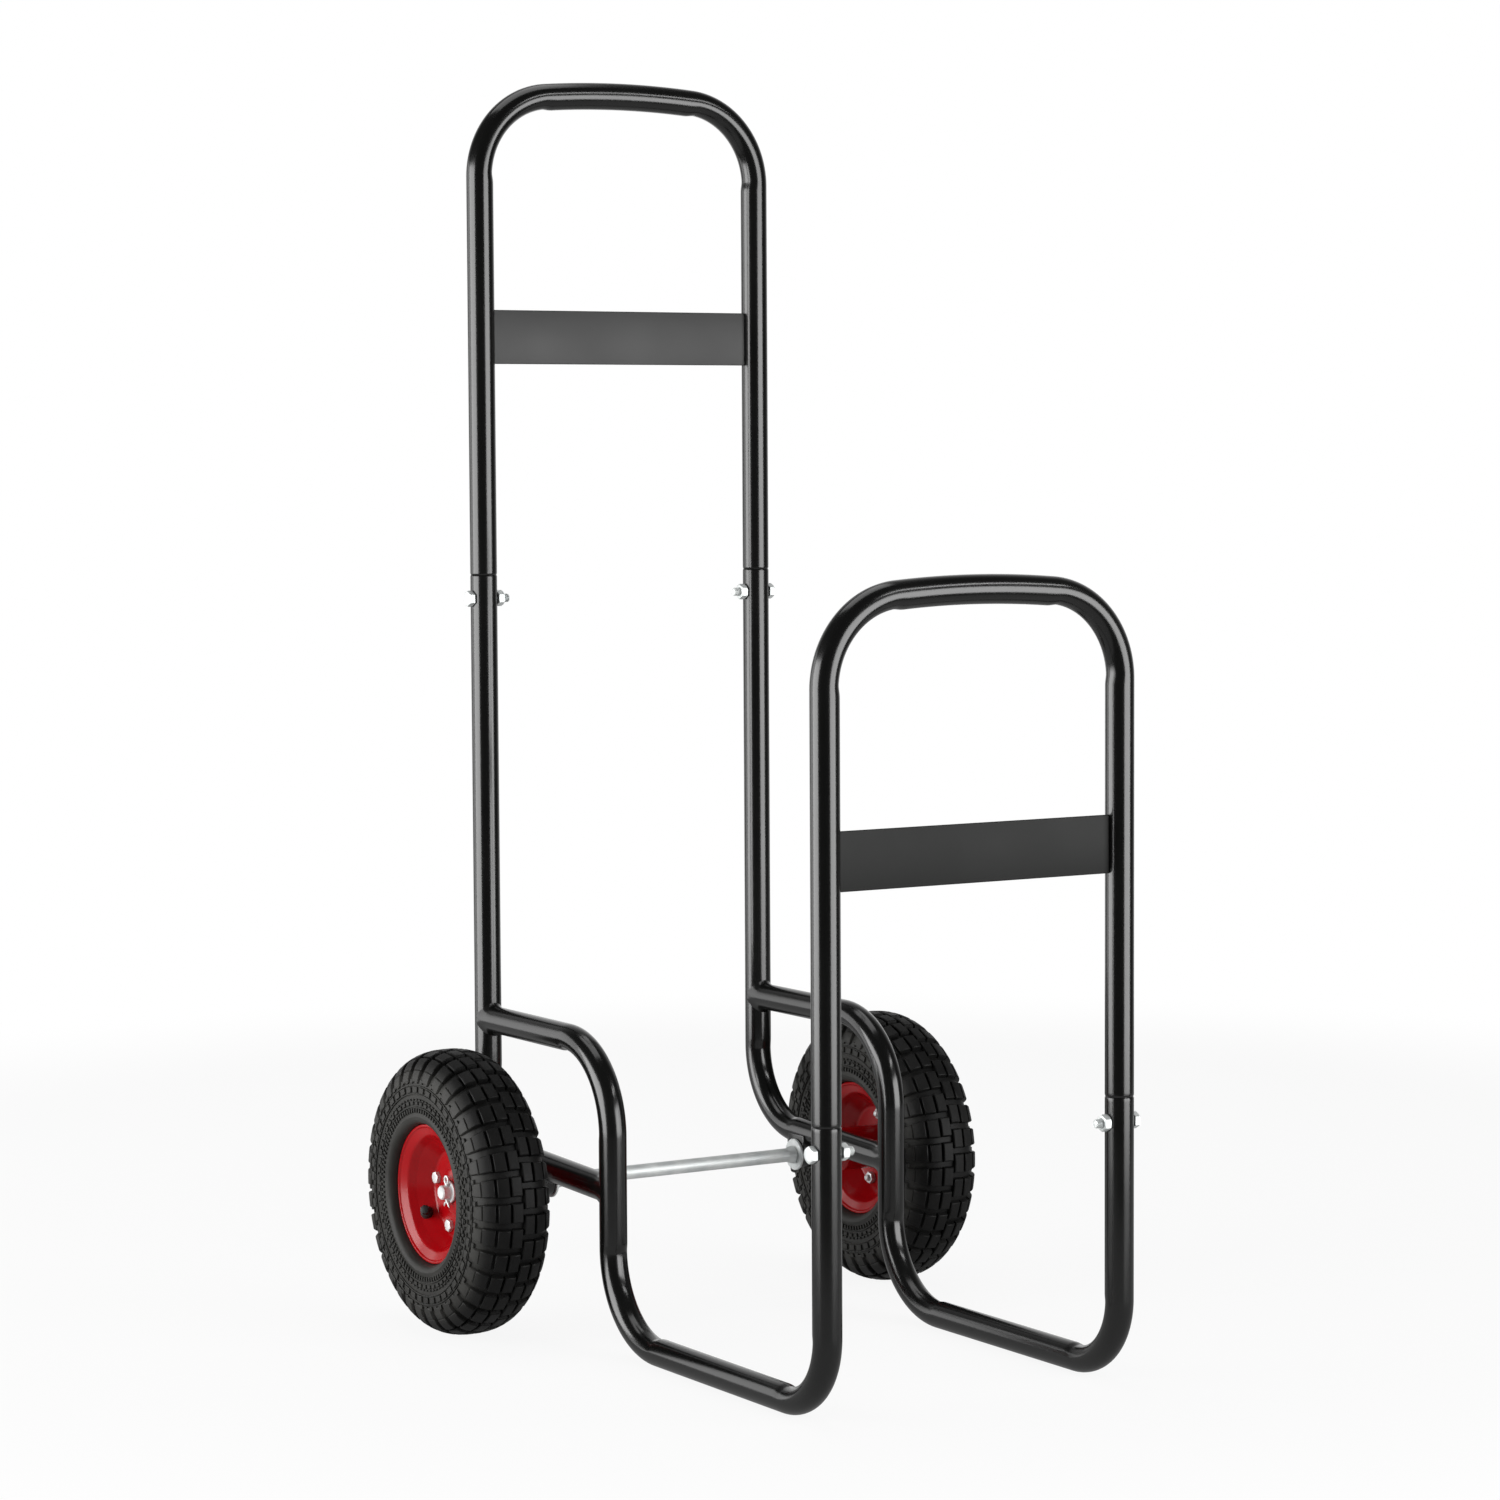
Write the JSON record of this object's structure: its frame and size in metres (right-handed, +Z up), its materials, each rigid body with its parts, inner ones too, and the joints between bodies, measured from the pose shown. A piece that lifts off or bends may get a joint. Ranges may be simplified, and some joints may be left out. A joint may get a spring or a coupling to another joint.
{
  "type": "fireside log cart",
  "caption": "Two-wheeled hand cart for firewood: bent black steel tube frame with a low cradle, tall handle hoop, short front hoop and pneumatic wheels on red rims.",
  "frame": {"origin": "on the ground, at the middle of the cart's width and length", "axes": "+X to the cart's right seen from the front hoop's side looking at the handle, -Y towards the short front hoop, +Y towards the tall handle, +Z up"},
  "size_m": [0.536, 0.642, 1.147],
  "materials": {
    "black_paint": "glossy black powder coat",
    "red_paint": "glossy red enamel",
    "zinc": "bright zinc plating",
    "tyre_rubber": "matt moulded rubber",
    "soft_rubber": "matt rubber",
    "bearing_steel": "ground steel"
  },
  "bodies": {
    "frame": {"handle_hoop": "black_paint", "handle_crossplate": "black_paint", "front_hoop": "black_paint", "front_crossplate": "black_paint", "left_rear_tube": "black_paint", "right_rear_tube": "black_paint", "left_cradle_tube": "black_paint", "right_cradle_tube": "black_paint", "left_axle_lug": "black_paint", "right_axle_lug": "black_paint", "axle": "zinc", "inner_washers": "zinc", "hub_spacers": "zinc", "outer_washers": "zinc", "split_pins": "zinc", "handle_bolts": "zinc", "handle_nuts": "zinc", "front_bolts": "zinc", "front_nuts": "zinc", "left_inner_races": "bearing_steel", "right_inner_races": "bearing_steel"},
    "left_wheel": {"left_tyre": "tyre_rubber", "left_inner_tube": "soft_rubber", "left_rim_outer": "red_paint", "left_rim_inner": "red_paint", "left_hub": "red_paint", "left_outer_races": "bearing_steel", "left_balls": "bearing_steel", "left_ball_cages": "zinc", "left_rim_bolts": "zinc", "left_rim_nuts": "zinc", "left_valve_stem": "soft_rubber", "left_valve_cap": "soft_rubber"},
    "right_wheel": {"right_tyre": "tyre_rubber", "right_inner_tube": "soft_rubber", "right_rim_outer": "red_paint", "right_rim_inner": "red_paint", "right_hub": "red_paint", "right_outer_races": "bearing_steel", "right_balls": "bearing_steel", "right_ball_cages": "zinc", "right_rim_bolts": "zinc", "right_rim_nuts": "zinc", "right_valve_stem": "soft_rubber", "right_valve_cap": "soft_rubber"}
  },
  "joints": [
    {"name": "left_wheel_spin", "type": "hinge", "parent": "frame", "child": "left_wheel", "pos_m": [-0.23, 0.191, 0.13], "axis": [1, 0, 0], "continuous": true},
    {"name": "right_wheel_spin", "type": "hinge", "parent": "frame", "child": "right_wheel", "pos_m": [0.23, 0.191, 0.13], "axis": [1, 0, 0], "continuous": true}
  ]
}
